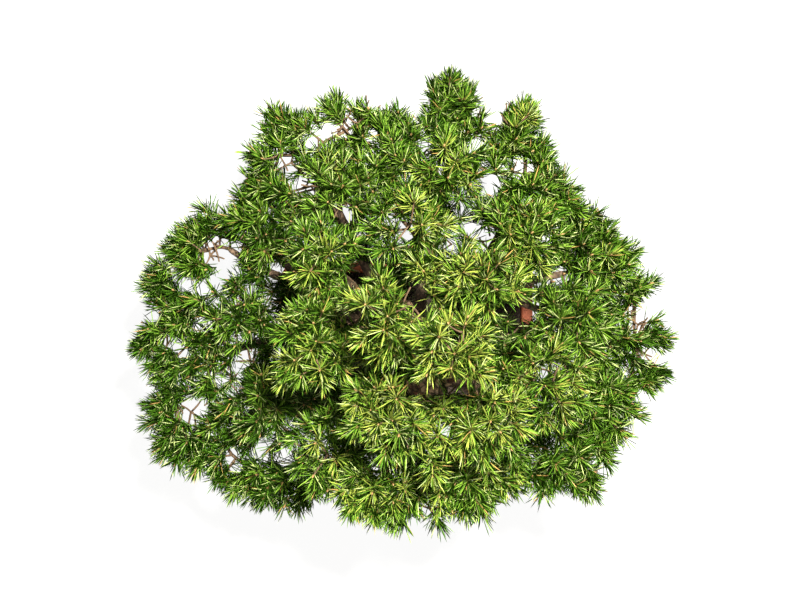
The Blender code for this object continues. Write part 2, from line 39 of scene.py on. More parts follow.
# Camera and light
CAMERA_PLACE = (-8 * MM, 41 * MM, 2.0)
CAMERA_LENS = 70
CAMERA_SENSOR = 36
PICTURE_WIDTH = 800
PICTURE_HEIGHT = 611
FLOOR_REACH = 14.0
KEY_PLACE = (0.38, 0.56, 2.6)
KEY_SIZE = 0.22
KEY_POWER = 196
LIGHT_COLOUR = (1, 0.97, 0.88)
TOP_PLACE = (-0.05, -0.06, 2.4)
TOP_SIZE = 0.3
TOP_POWER = 8
FILL_PLACE = (-1.4, -1.2, 1.8)
FILL_SIZE = 1.6
FILL_POWER = 4
LOW_PLACES = ((-1.1, -1.5, 0.34), (1.5, -1.1, 0.34), (0.5, 1.8, 0.34))
LOW_SIZE = 0.6
LOW_POWER = 8
SKY_STRENGTH = 0.04
BACKDROP_STRENGTH = 0.955
FLOOR_COLOUR = (0.16, 0.16, 0.16, 1)
FLOOR_GLOW = 0.05
FLOOR_WHITE = 0.91

# Pot and soil, as in the source
POT_LENGTH = 310 * MM
POT_WIDTH = 192 * MM
SOIL_TOP = 88 * MM
SOIL_EDGE = 81 * MM
SOIL_SLOPE = 22 * MM
SOIL_INSET = 15 * MM
GAP = 0.3 * MM

# Trunk, as in the source
TRUNK_LINE = (
    (-46 * MM, 28 * MM, SOIL_TOP + GAP),
    (-41 * MM, 25 * MM, 132 * MM),
    (-12 * MM, 4 * MM, 188 * MM),
    (12 * MM, -24 * MM, 246 * MM),
    (8 * MM, -40 * MM, 306 * MM),
    (24 * MM, -43 * MM, 362 * MM),
    (43 * MM, -29 * MM, 418 * MM),
    (42 * MM, -12 * MM, 470 * MM),
)
TRUNK_FOOT_RADIUS = 30 * MM
TRUNK_TIP_RADIUS = 4.5 * MM
TRUNK_TAPER_POWER = 0.95
TRUNK_RINGS = 13
ROOT_BEARINGS = (18, 74, 128, 196, 248, 304)
ROOT_REACHES = (26 * MM, 17 * MM, 36 * MM, 28 * MM, 20 * MM, 30 * MM)
ROOT_HALF_ANGLE = 17
ROOT_FADE = 22 * MM
ROOT_FADE_POWER = 1.2

# Boughs, as in the source: parent, share along it, tip in mm, foot radius in mm
BOUGHS = {
    "left": ("trunk", 0.14, (-222, -10, 206), 9.5),
    "left_front": ("trunk", 0.20, (-206, -108, 208), 9.0),
    "left_rear": ("trunk", 0.26, (-200, 104, 236), 8.5),
    "right": ("trunk", 0.23, (214, 0, 246), 8.5),
    "right_rear": ("trunk", 0.31, (172, 76, 280), 8.0),
    "back_left": ("trunk", 0.36, (-104, 200, 280), 8.5),
    "right_front": ("trunk", 0.41, (178, -108, 276), 7.5),
    "back": ("trunk", 0.44, (44, 226, 286), 8.0),
    "back_right": ("trunk", 0.50, (130, 184, 300), 7.5),
    "front_left": ("trunk", 0.56, (-22, -122, 338), 7.0),
    "front_right": ("trunk", 0.62, (82, -112, 344), 6.5),
    "upper_left": ("trunk", 0.67, (-72, 40, 372), 6.0),
    "upper_right": ("trunk", 0.71, (112, -42, 384), 6.0),
    "upper_rear": ("trunk", 0.76, (32, 80, 394), 5.5),
    "upper_front": ("trunk", 0.81, (32, -70, 412), 5.0),
    "crown_left": ("trunk", 0.86, (-4, 16, 440), 4.6),
    "left_inner": ("left", 0.52, (-176, 22, 222), 5.0),
    "left_front_inner": ("left_front", 0.50, (-150, -74, 232), 5.0),
    "left_rear_inner": ("left_rear", 0.55, (-156, 112, 252), 4.8),
    "right_inner": ("right_rear", 0.60, (160, 34, 310), 4.8),
    "back_left_inner": ("back_left", 0.52, (-74, 150, 306), 4.8),
    "back_inner": ("back", 0.56, (24, 166, 308), 4.8),
    "back_right_inner": ("back_right", 0.54, (108, 108, 338), 4.6),
    "front_left_inner": ("front_left", 0.45, (-72, -104, 316), 4.6),
}
BOUGH_TIP_RADIUS = 3.6 * MM
BOUGH_RINGS = 7
BOUGH_BENDS = (0.35, 0.72)
BOUGH_SWAY = 0.07
SWAY_RANGE = (0.6, 1.4)
BOUGH_EARLY_RISE = 0.08
BOUGH_LATE_RISE = 0.58

# Masses, as in the source: bough, middle in mm, half sizes across in mm
MASSES = {
    "left_tip": ("left", (-280, 14, 230), (47, 66)),
    "left_mid": ("left_inner", (-190, 28, 252), (48, 46)),
    "left_front_tip": ("left_front", (-262, -100, 230), (50, 58)),
    "left_front_edge": ("left_front", (-158, -162, 242), (62, 44)),
    "left_front_mid": ("left_front_inner", (-166, -72, 266), (54, 52)),
    "left_rear_tip": ("left_rear", (-232, 104, 254), (50, 46)),
    "left_rear_mid": ("left_rear_inner", (-168, 130, 282), (50, 56)),
    "right_tip": ("right", (256, -2, 272), (46, 68)),
    "right_rear_tip": ("right_rear", (196, 98, 302), (50, 50)),
    "right_mid": ("right_inner", (182, 22, 348), (50, 56)),
    "back_left_tip": ("back_left", (-144, 208, 292), (46, 56)),
    "back_left_edge": ("back_left", (-54, 242, 304), (54, 42)),
    "back_left_mid": ("back_left_inner", (-80, 168, 342), (50, 48)),
    "right_front_tip": ("right_front", (216, -84, 292), (50, 54)),
    "right_front_edge": ("right_front", (170, -140, 308), (50, 44)),
    "back_tip": ("back", (48, 264, 304), (42, 42)),
    "back_mid_left": ("back_inner", (-16, 204, 324), (46, 50)),
    "back_mid": ("back_inner", (54, 188, 350), (50, 46)),
    "back_right_tip": ("back_right", (116, 238, 314), (34, 40)),
    "back_right_edge": ("back_right", (149, 163, 324), (48, 46)),
    "back_right_mid": ("back_right_inner", (124, 118, 374), (52, 46)),
    "front_left_tip": ("front_left", (-16, -160, 370), (62, 48)),
    "front_left_mid": ("front_left_inner", (-88, -116, 346), (50, 52)),
    "front_right_tip": ("front_right", (76, -150, 370), (54, 48)),
    "upper_left_front": ("upper_left", (-98, -6, 402), (52, 52)),
    "upper_left_rear": ("upper_left", (-88, 90, 402), (50, 52)),
    "upper_right_tip": ("upper_right", (146, -40, 412), (52, 56)),
    "upper_rear_left": ("upper_rear", (0, 122, 410), (48, 46)),
    "upper_rear_right": ("upper_rear", (76, 64, 440), (54, 48)),
    "upper_front_left": ("upper_front", (-20, -76, 444), (56, 50)),
    "upper_front_right": ("upper_front", (80, -76, 444), (52, 48)),
    "crown_side": ("crown_left", (-22, 34, 472), (48, 50)),
    "crown_top": ("trunk", (46, -4, 512), (52, 46)),
}
MASS_RISE = 26 * MM
MASS_INSET = 22 * MM
STEM_DROP = 24 * MM
STEM_SPREAD = 2.4 * MM
STEM_LEAD = 2 * MM
STEM_RINGS = 5
TWIG_SHARES = (0.4, 0.97)
TWIG_STEPS = 6
TUFT_SPACING = 36 * MM
RING_OUT = (0.84, 1.06)
RING_SWING = 0.14
RING_LEAST = 4
TUFT_JITTER = 4 * MM
TUFT_TILT = math.radians(60)
TILT_SPREAD = 0.12
SEED = 7

# Bark relief
TRUNK_SIDES = 110
TRUNK_STEPS = 270
BOUGH_SIDES = 18
BOUGH_STEP = 2.2 * MM
TRUNK_PLATE = 9 * MM
BOUGH_PLATE = 5 * MM
PLATE_STRETCH = 0.5
PLATE_WOBBLE = 0.55
FINE_WOBBLE = 0.22
PLATE_LIFT = 0.05
FISSURE_WIDTH = 0.3
FISSURE_DEPTH = 0.07
LUMP_SIZE = 26 * MM
LUMP_DEPTH = 0.12
COLLAR = 0.45
COLLAR_FADE = 9 * MM

# Twigs
STEM_FOOT_RADIUS = 3.0 * MM
STEM_HEAD_RADIUS = 1.7 * MM
STEM_POINTS = 22
TWIG_RADII = (1.5 * MM, 1.15 * MM)
TWIG_POINTS = 9
FORK_RADII = (1.15 * MM, 0.9 * MM)
FORK_POINTS = 5
TWIG_SIDES = 5
TWIG_BOW = 0.1
TWIG_KNOT = 0.16

# Tufts: shoots on each of the source's tufts, and needles on each shoot
SHOOT_OUTS = (0.0, 13 * MM, 18 * MM, 22 * MM)
SHOOT_INWARD = 0.6
SHOOT_RISE = 4 * MM
SHOOT_LIFT = 6 * MM
SHOOT_SPLAY = 0.3
SHOOT_UPRIGHT = 1.0
SHOOT_STRAY = 0.3
CROWN_LEAN = 1.6
FORK_DROP = 9 * MM
TUFT_KINDS = 14
DENSE_BUNDLES = 16
THIN_BUNDLES = 14
BUNDLE_NEEDLES = 5
BUNDLE_SPREAD = 0.38
SHOOT_BARE = 16 * MM
NEEDLE_LENGTH = (18 * MM, 24 * MM)
NEEDLE_FOOT = 0.46 * MM
NEEDLE_MIDDLE = 0.54 * MM
NEEDLE_WAIST = 0.78
NEEDLE_BEND = 0.12
LOW_ANGLE = math.radians(66)
HIGH_ANGLE = math.radians(12)
GOLDEN_TURN = math.radians(137.5)
# Each needle's step from its shoot's green: steps up are painted light, steps down painted shade, -3 the painted
# deep shade between needles, pale a painted highlight; straw is real
SHADES = ((0, 0.16), (1, 0.27), (-1, 0.09), (-3, 0.383), ("pale", 0.085), ("straw", 0.012))
MOST_TRIANGLES = 190000
NEEDLE_CORNERS = 7

# Side twigs along the boughs, with fewer shoots
SIDE_SPACING = 26 * MM
SIDE_SHARES = (0.42, 0.96)
TOP_SHARES = (0.8, 0.99)
SIDE_REACH = 27 * MM
SIDE_RISE = (8 * MM, 22 * MM)
SIDE_SHOOTS = 3
SWING = 0.5

# How far the crown reaches in the picture, every 15 degrees from +X, in mm at a middle height
CROWN_LEVEL = 260 * MM
CROWN_MIDDLE = (-10, 40)
CROWN_REACH = (286, 278, 254, 252, 272, 268, 230, 250, 264, 246, 238, 272,
               290, 296, 318, 290, 266, 238, 256, 252, 256, 304, 302, 316)
EDGE_SHARE = 0.85
EDGE_PULL = 60 * MM
INSIDE_SHARE = 0.55
INSIDE_TOP = 0.36

# Fill between the masses
FILL_STEP = 8
FILL_EDGE = 0.9
FILL_SPACING = 9
FILL_MOST = 62 * MM
FILL_SHARE = 0.22
FILL_SLOPE = 0.35
FILL_RISE = (5 * MM, 16 * MM)
FILL_SHOOTS = 2
FILL_LEAN = 0.5
EDGE_LEAN = 0.8

# Places in the picture, seen from above, where sky or bark shows: across, down, radius
LEFT_CLEARINGS = (
    (274, 272, 9), (218, 242, 10), (209, 253, 15), (229, 254, 14), (236, 246, 9), (187, 285, 10), (203, 288, 11),
    (214, 281, 7), (222, 275, 9), (235, 272, 7), (213, 299, 6), (240, 299, 6), (250, 291, 6), (197, 327, 7),
    (208, 325, 6), (238, 338, 8), (256, 340, 5), (165, 342, 7), (178, 345, 7), (183, 354, 8),
    (222, 345, 5), (247, 355, 10), (239, 367, 7), (208, 374, 6), (218, 381, 9), (227, 375, 6),
    (234, 390, 7), (190, 407, 12), (183, 416, 10), (201, 405, 7), (195, 425, 7), (210, 435, 6), (252, 414, 8),
    (289, 431, 5), (262, 446, 9), (258, 454, 8), (271, 442, 5), (284, 453, 8), (287, 461, 7), (232, 455, 10),
    (235, 468, 9), (298, 446, 5), (327, 457, 6), (325, 441, 5), (306, 478, 6),
)
TOP_CLEARINGS = (
    (315, 138, 11), (326, 131, 11), (309, 144, 7), (346, 128, 11), (352, 117, 7), (338, 130, 10), (373, 131, 8),
    (370, 141, 6), (277, 152, 8), (287, 160, 11), (291, 168, 9), (301, 185, 12), (310, 188, 10), (345, 215, 11),
    (424, 144, 8), (426, 155, 7), (440, 175, 6), (403, 178, 6), (478, 144, 8),
    (470, 147, 7), (488, 165, 6), (501, 165, 7), (520, 166, 7), (531, 166, 10), (490, 188, 8), (498, 182, 7),
    (452, 205, 5), (461, 212, 6), (429, 228, 5), (406, 225, 9), (406, 236, 9), (450, 245, 9), (494, 230, 8),
    (490, 240, 10), (481, 237, 6), (492, 118, 9), (476, 112, 7), (336, 212, 7), (390, 214, 7),
    (470, 227, 9), (488, 180, 8),
)
RIGHT_CLEARINGS = (
    (537, 284, 7), (529, 284, 5), (545, 373, 8), (557, 363, 6), (632, 311, 8), (638, 325, 8), (650, 355, 10),
    (661, 361, 8), (635, 351, 6), (628, 374, 6), (524, 313, 14), (509, 309, 9), (446, 432, 9), (595, 462, 6),
)
BARK_CLEARINGS = (
    (412, 390, 10), (424, 386, 12), (438, 388, 12), (452, 384, 12), (466, 388, 8), (476, 386, 8), (352, 279, 13),
    (362, 268, 14), (414, 295, 17), (421, 308, 14), (287, 268, 8), (467, 350, 5), (500, 312, 8), (318, 392, 6),
    (356, 316, 12),
)

# Bays of the crown's outline in the picture: across, down, radius
BAYS = (
    (132, 314, 20), (152, 316, 10), (132, 424, 9), (144, 446, 9), (166, 475, 9), (205, 487, 8), (268, 517, 10),
    (284, 518, 8), (249, 129, 10), (258, 116, 9), (262, 104, 8), (237, 146, 7), (237, 178, 10), (203, 195, 9),
    (366, 84, 10), (374, 98, 13), (402, 103, 7), (420, 84, 10), (424, 98, 7), (468, 66, 8), (483, 88, 10),
    (497, 102, 13), (498, 118, 9), (508, 83, 9), (547, 112, 9), (574, 169, 9), (582, 176, 8), (604, 203, 8),
    (613, 211, 11), (625, 231, 7), (650, 262, 9), (656, 308, 9), (641, 318, 10), (668, 316, 7), (643, 397, 10),
    (640, 430, 12), (632, 443, 10), (604, 472, 8), (561, 501, 9), (545, 507, 9), (484, 530, 11), (503, 511, 11),
    (404, 541, 10), (414, 524, 9), (426, 510, 8), (436, 500, 5), (318, 508, 8),
)
CLEARINGS = LEFT_CLEARINGS + TOP_CLEARINGS + RIGHT_CLEARINGS + BARK_CLEARINGS + BAYS

# Tufts that stick out of the crown's outline in the picture: across, down
EDGE_TUFTS = (
    (151, 281), (142, 342), (157, 392), (153, 416), (165, 448), (190, 463), (216, 481), (240, 495), (262, 499),
    (294, 503), (175, 240), (198, 218), (235, 211), (280, 117), (254, 166), (252, 186), (328, 101), (355, 102),
    (388, 110), (408, 120), (450, 86), (520, 111), (530, 126), (546, 155), (576, 195), (596, 216), (614, 238),
    (630, 245), (647, 290), (655, 331), (656, 386), (643, 380), (632, 412), (613, 441), (611, 455), (592, 487),
    (545, 484), (519, 494), (497, 500), (468, 512), (442, 518), (395, 516), (376, 519), (352, 505),
    (144, 273), (170, 252), (134, 343), (302, 505), (360, 521), (434, 522), (651, 287), (661, 384), (664, 333),
    (277, 109), (441, 81), (463, 83), (525, 103), (600, 488),
)
EDGE_SHOOTS = 3
EDGE_INSET = 7 * MM
NEEDLE_CLEARING = (0.3, 0.78)

# Places on bark and rim that stand open to the key light: across, deep, high, radius in mm
OPEN_TO_LIGHT = ((12, -38, 306, 7), (146, 31, 95, 9))

# Buds
BUD_LENGTH = 6.0 * MM
BUD_RADIUS = 1.5 * MM
BUD_SIDES = 5

# Needle colours: lit and shaded copies of one green, from painted deep shade to the painted bright light of the
# apex; pale is a painted highlight and straw the own brown of old needles
GREENS = {
    "deep": (0.007, 0.025, 0.001),
    "dark": (0.030, 0.082, 0.004),
    "mid": (0.075, 0.185, 0.015),
    "bright": (0.202, 0.360, 0.038),
    "yellow": (0.380, 0.460, 0.076),
    "pale": (0.450, 0.540, 0.200),
    "straw": (0.400, 0.260, 0.080),
}
LADDER = ("deep", "dark", "mid", "bright", "yellow")
NEEDLE_GLEAM = (1, 1, 0.6, 1)

# Soil
GRAIN_COUNT = 3600
GRAIN_SIZE = (1.0 * MM, 2.4 * MM)

# Moss
MOSS_TRIES = 16000
MOSS_PATCH = 34 * MM
MOSS_LEAST = 0.12
MOSS_LENGTH = (1.6 * MM, 3.4 * MM)
MOSS_RADIUS = 0.7 * MM
MOSS_LEAN = 0.35


# Lines, as in the source

def smooth_line(points, count):
    """Reads evenly spaced points from a smooth curve through the given ones."""
    line = [Vector(point) for point in points]
    ends = [line[0] * 2 - line[1]] + line + [line[-1] * 2 - line[-2]]
    found = []
    for step in range(count):
        place_along = step / (count - 1) * (len(line) - 1)
        span = min(int(place_along), len(line) - 2)
        t = place_along - span
        a, b, c, d = ends[span:span + 4]
        found.append(0.5 * (2 * b + (c - a) * t + (2 * a - 5 * b + 4 * c - d) * t ** 2
                            + (3 * b - a - 3 * c + d) * t ** 3))
    return found


def bezier(first, second, third, last, count):
    """Reads evenly spaced points from a cubic curve."""
    found = []
    for step in range(count):
        t = step / (count - 1)
        s = 1 - t
        found.append(first * s ** 3 + second * 3 * s * s * t + third * 3 * s * t * t + last * t ** 3)
    return found


def along(line, share):
    """Gives the place that is a share of the way along a line of points."""
    reach = share * (len(line) - 1)
    span = min(int(reach), len(line) - 2)
    return line[span].lerp(line[span + 1], reach - span)


def root_flare(bearing):
    """Gives how far the surface roots reach past the trunk at a bearing."""
    reach = 0.0
    for root, length in zip(ROOT_BEARINGS, ROOT_REACHES):
        off = (bearing - root + 180) % 360 - 180
        reach = max(reach, length * math.exp(-(off / ROOT_HALF_ANGLE) ** 2))
    return reach


def bough_line(foot, tip, luck):
    """Draws a bough that leaves almost level, sways, and rises to its tip."""
    run = tip - foot
    side = run.cross(UP).normalized() * run.length * BOUGH_SWAY * luck.choice((-1, 1))
    early = foot + run * BOUGH_BENDS[0] + side * luck.uniform(*SWAY_RANGE)
    early.z = foot.z + run.z * BOUGH_EARLY_RISE
    late = foot + run * BOUGH_BENDS[1] - side * luck.uniform(*SWAY_RANGE)
    late.z = foot.z + run.z * BOUGH_LATE_RISE
    return bezier(foot, early, late, tip, BOUGH_RINGS)


def limb_lines():
    """Gives the line of the trunk and of every bough."""
    lines = {"trunk": smooth_line(TRUNK_LINE, TRUNK_RINGS)}
    for number, (name, (parent, share, tip, _)) in enumerate(BOUGHS.items()):
        foot = along(lines[parent], share)
        lines[name] = bough_line(foot, Vector(tip) * MM, random.Random(SEED + number))
    return lines


def stem_starts(bough, lines):
    """Gives each mass at a bough's tip its own place on that tip."""
    line = lines[bough]
    heading = UP if bough == "trunk" else (line[-1] - line[-2]).normalized()
    names = [name for name, row in MASSES.items() if row[0] == bough]
    start = line[-1] + heading * GAP
    if len(names) < 2:
        return {name: (start, heading) for name in names}
    first, second = (Vector(MASSES[name][1]) for name in names)
    apart = first - second
    apart = (apart - heading * apart.dot(heading)).normalized() * STEM_SPREAD
    return {names[0]: (start + apart, heading), names[1]: (start - apart, heading)}


def stem_line(name, start, heading):
    """Draws a mass's stem, from its bough's tip to a hub under its middle."""
    hub = Vector(MASSES[name][1]) * MM - UP * STEM_DROP
    lead = start + heading * STEM_LEAD
    bend = (hub - lead).length / 3
    arrival = ((hub - lead).normalized() + UP).normalized()
    return [start] + bezier(lead, lead + heading * bend, hub - arrival * bend, hub, STEM_RINGS - 1)


def tuft_sites(name, luck):
    """Spreads tufts over a mass's low dome: one in the middle, the rest round it."""
    _, middle, half = MASSES[name]
    middle = Vector(middle) * MM
    wide = half[0] * MM - MASS_INSET
    deep = half[1] * MM - MASS_INSET
    ring = max(RING_LEAST, round(math.pi * (wide + deep) / TUFT_SPACING))
    spin = luck.uniform(0, math.tau)
    sites = []
    for index in range(ring + 1):
        out = 0.0 if index == 0 else luck.uniform(*RING_OUT)
        bearing = spin + math.tau * index / ring + luck.uniform(-RING_SWING, RING_SWING)
        across = Vector((math.cos(bearing), math.sin(bearing), 0)) * out
        shift = Vector([luck.uniform(-TUFT_JITTER, TUFT_JITTER) for _ in range(3)])
        dome = MASS_RISE * (0.5 - out * out)
        site = middle + Vector((across.x * wide, across.y * deep, dome)) + shift
        tilt = TUFT_TILT * out + luck.uniform(-TILT_SPREAD, TILT_SPREAD)
        lean = across.normalized() if index else Vector((1, 0, 0))
        sites.append((site, (UP * math.cos(tilt) + lean * math.sin(tilt)).normalized()))
    return sites


def twig_foot(stem, site):
    """Gives the place on a stem's outer stretch that is nearest to a tuft."""
    first, last = TWIG_SHARES
    shares = [first + (last - first) * step / TWIG_STEPS for step in range(TWIG_STEPS + 1)]
    return min((along(stem, share) for share in shares), key=lambda point: (point - site).length)


# Node materials

def socket(tree, name, kind, is_input, value=None):
    """Adds a named socket to a node group."""
    side = "INPUT" if is_input else "OUTPUT"
    made = tree.interface.new_socket(name, in_out=side, socket_type=kind)
    if value is not None:
        made.default_value = value
    return made


def mottle_group():
    """Builds the group that mixes two colours by soft clouds and fine grain."""
    tree = bpy.data.node_groups.new("mottle", "ShaderNodeTree")
    socket(tree, "Dark", "NodeSocketColor", True)
    socket(tree, "Light", "NodeSocketColor", True)
    socket(tree, "Cloud Scale", "NodeSocketFloat", True, 40.0)
    socket(tree, "Grain Scale", "NodeSocketFloat", True, 600.0)
    socket(tree, "Grain Share", "NodeSocketFloat", True, 0.4)
    socket(tree, "Colour", "NodeSocketColor", False)
    socket(tree, "Height", "NodeSocketFloat", False)
    nodes = tree.nodes
    links = tree.links
    given = nodes.new("NodeGroupInput")
    out = nodes.new("NodeGroupOutput")
    coords = nodes.new("ShaderNodeTexCoord")
    cloud = nodes.new("ShaderNodeTexNoise")
    grain = nodes.new("ShaderNodeTexNoise")
    share = nodes.new("ShaderNodeMix")
    spread = nodes.new("ShaderNodeMapRange")
    blend = nodes.new("ShaderNodeMix")
    blend.data_type = "RGBA"
    spread.inputs["From Min"].default_value = 0.3
    spread.inputs["From Max"].default_value = 0.7
    links.new(coords.outputs["Object"], cloud.inputs["Vector"])
    links.new(coords.outputs["Object"], grain.inputs["Vector"])
    links.new(given.outputs["Cloud Scale"], cloud.inputs["Scale"])
    links.new(given.outputs["Grain Scale"], grain.inputs["Scale"])
    links.new(given.outputs["Grain Share"], share.inputs["Factor"])
    links.new(cloud.outputs["Fac"], share.inputs["A"])
    links.new(grain.outputs["Fac"], share.inputs["B"])
    links.new(share.outputs["Result"], spread.inputs["Value"])
    links.new(spread.outputs["Result"], blend.inputs["Factor"])
    links.new(given.outputs["Dark"], blend.inputs["A"])
    links.new(given.outputs["Light"], blend.inputs["B"])
    links.new(blend.outputs["Result"], out.inputs["Colour"])
    links.new(share.outputs["Result"], out.inputs["Height"])
    return tree


def mottled(name, dark, light, cloud, grain, share, roughness, bump, depth):
    """Makes a matt material of two colours, mottled at two scales, with fine relief."""
    made = bpy.data.materials.new(name)
    made.use_nodes = True
    nodes = made.node_tree.nodes
    links = made.node_tree.links
    shader = nodes["Principled BSDF"]
    shader.inputs["Roughness"].default_value = roughness
    pattern = nodes.new("ShaderNodeGroup")
    pattern.node_tree = bpy.data.node_groups.get("mottle") or mottle_group()
    pattern.inputs["Dark"].default_value = (*dark, 1)
    pattern.inputs["Light"].default_value = (*light, 1)
    pattern.inputs["Cloud Scale"].default_value = cloud
    pattern.inputs["Grain Scale"].default_value = grain
    pattern.inputs["Grain Share"].default_value = share
    relief = nodes.new("ShaderNodeBump")
    relief.inputs["Strength"].default_value = bump
    relief.inputs["Distance"].default_value = depth
    links.new(pattern.outputs["Colour"], shader.inputs["Base Color"])
    links.new(pattern.outputs["Height"], relief.inputs["Height"])
    links.new(relief.outputs["Normal"], shader.inputs["Normal"])
    return made


def read_value(tree, name):
    """Gives the output of a node that reads a value of the mesh."""
    reader = tree.nodes.new("ShaderNodeAttribute")
    reader.attribute_name = name
    return reader.outputs["Fac"]


def bark_material(name, dark, light):
    """Makes scaly bark: each plate in its own tone, with painted shade darkening the fissures between them."""
    made = mottled(name, dark, light, 150, 900, 0.5, 0.85, 0.9, 0.6 * MM)
    tree = made.node_tree
    pattern = next(node for node in tree.nodes if node.type == "GROUP")
    plates = tree.nodes.new("ShaderNodeMix")
    plates.data_type = "RGBA"
    plates.blend_type = "OVERLAY"
    plates.inputs["Factor"].default_value = 0.75
    # Near-black painted shade, mixed in where the plate value falls towards a fissure
    shade = tree.nodes.new("ShaderNodeMix")
    shade.data_type = "RGBA"
    shade.inputs["A"].default_value = (0.040, 0.026, 0.017, 1)
    tree.links.new(pattern.outputs["Colour"], plates.inputs["A"])
    tree.links.new(read_value(tree, "tone"), plates.inputs["B"])
    tree.links.new(read_value(tree, "plate"), shade.inputs["Factor"])
    tree.links.new(plates.outputs["Result"], shade.inputs["B"])
    tree.links.new(shade.outputs["Result"], tree.nodes["Principled BSDF"].inputs["Base Color"])
    return made


def needle_material(kind):
    """Makes one green of needle, with a little change from place to place."""
    colour = GREENS[kind]
    dark = [part * 0.82 for part in colour]
    light = [part * 1.16 for part in colour]
    made = mottled("needle_" + kind, dark, light, 120, 900, 0.3, 0.3, 0.1, 0.1 * MM)
    shader = made.node_tree.nodes["Principled BSDF"]
    shader.inputs["Specular IOR Level"].default_value = 0.45
    shader.inputs["Specular Tint"].default_value = NEEDLE_GLEAM
    return made


# Meshes

def place(name, mesh, material):
    """Puts a finished mesh into the scene as a piece of the plant."""
    thing = bpy.data.objects.new(name, mesh)
    bpy.context.scene.collection.objects.link(thing)
    mesh.materials.append(material)
    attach(thing, "root")
    return thing


def from_arrays(name, corners, faces):
    """Makes a mesh from an array of corners and an array of triangles."""
    mesh = bpy.data.meshes.new(name)
    mesh.vertices.add(len(corners))
    mesh.vertices.foreach_set("co", np.asarray(corners, np.float32).ravel())
    mesh.loops.add(faces.size)
    mesh.loops.foreach_set("vertex_index", np.asarray(faces, np.int32).ravel())
    mesh.polygons.add(len(faces))
    mesh.polygons.foreach_set("loop_start", np.arange(0, faces.size, 3, dtype=np.int32))
    mesh.update(calc_edges=True)
    return mesh


def stack(shapes):
    """Joins many (corners, faces) shapes into one."""
    corners = []
    faces = []
    count = 0
    for shape_corners, shape_faces in shapes:
        corners.append(shape_corners)
        faces.append(shape_faces + count)
        count += len(shape_corners)
    return np.concatenate(corners), np.concatenate(faces)


def tube(line, radii, sides):
    """Gives a closed tube with a rounded-off end along a line, as arrays."""
    line = np.array([tuple(point) for point in line])
    radii = np.asarray(radii)
    heading = np.gradient(line, axis=0)
    heading /= np.linalg.norm(heading, axis=1)[:, None]
    mean = heading.mean(axis=0)
    other = np.cross(mean, (1, 0, 0) if abs(mean[0]) < 0.7 else (0, 1, 0))
    u = other - heading * (heading @ other)[:, None]
    u /= np.linalg.norm(u, axis=1)[:, None]
    v = np.cross(heading, u)
    angle = np.arange(sides) / sides * math.tau
    ring = u[:, None] * np.cos(angle)[None, :, None] + v[:, None] * np.sin(angle)[None, :, None]
    corners = line[:, None] + ring * radii[:, None, None]
    corners = np.concatenate((corners.reshape(-1, 3), line[:1] - heading[:1] * radii[0],
                              line[-1:] + heading[-1:] * radii[-1]))
    faces = []
    for step in range(len(line) - 1):
        for k in range(sides):
            a = step * sides + k
            b = step * sides + (k + 1) % sides
            faces.append((a, b, b + sides))
            faces.append((a, b + sides, a + sides))
    last = (len(line) - 1) * sides
    foot = len(line) * sides
    for k in range(sides):
        faces.append(((k + 1) % sides, k, foot))
        faces.append((last + k, last + (k + 1) % sides, foot + 1))
    return corners, np.array(faces)


# Trunk and boughs

def extrude_end(bm, end):
    """Extrudes an end face, and gives the new end face and its vertices."""
    is_first = len(bm.faces) == 1
    made = bmesh.ops.extrude_face_region(bm, geom=[end])["geom"]
    if not is_first:
        bmesh.ops.delete(bm, geom=[end], context="FACES_ONLY")
    new_end = next(item for item in made if isinstance(item, bmesh.types.BMFace))
    return new_end, list(new_end.verts)


def ring_frames(line, radii, level):
    """Gives the place, turn and size of each ring along a limb."""
    turn = Quaternion()
    heading = UP
    frames = []
    for index, (point, radius) in enumerate(zip(line, radii)):
        before = line[max(index - 1, 0)]
        after = line[min(index + 1, len(line) - 1)]
        if not level:
            turn = heading.rotation_difference((after - before).normalized()) @ turn
            heading = (after - before).normalized()
        frames.append(Matrix.LocRotScale(point, turn, Vector((radius, radius, radius))))
    return frames


def limb(line, radii, sides, level=False):
    """Extrudes a disc along a line, and gives the bmesh and each vertex's ring."""
    frames = ring_frames(line, radii, level)
    bm = bmesh.new()
    bm.verts.layers.float.new("plate")
    bm.verts.layers.float.new("tone")
    bmesh.ops.create_circle(bm, cap_ends=True, segments=sides, radius=1.0, matrix=frames[0])
    end = bm.faces[:][0]
    rings = {vert: 0 for vert in bm.verts}
    for step, (before, after) in enumerate(zip(frames, frames[1:])):
        end, ring = extrude_end(bm, end)
        bmesh.ops.transform(bm, matrix=after @ before.inverted(), verts=ring)
        rings.update({vert: step + 1 for vert in ring})
    return bm, rings


def plate_height(point, size):
    """Gives the bark's height at a point, 0 in a fissure and 1 on a plate, and the plate's tone."""
    place_at = point / size
    wobble = noise.noise_vector(place_at) * PLATE_WOBBLE + noise.noise_vector(place_at * 3) * FINE_WOBBLE
    nearest, centres = noise.voronoi(place_at + wobble)
    edge = min(max((nearest[1] - nearest[0]) / FISSURE_WIDTH, 0), 1)
    return edge * edge * (3 - 2 * edge), noise.cell(centres[0] * 9) % 1


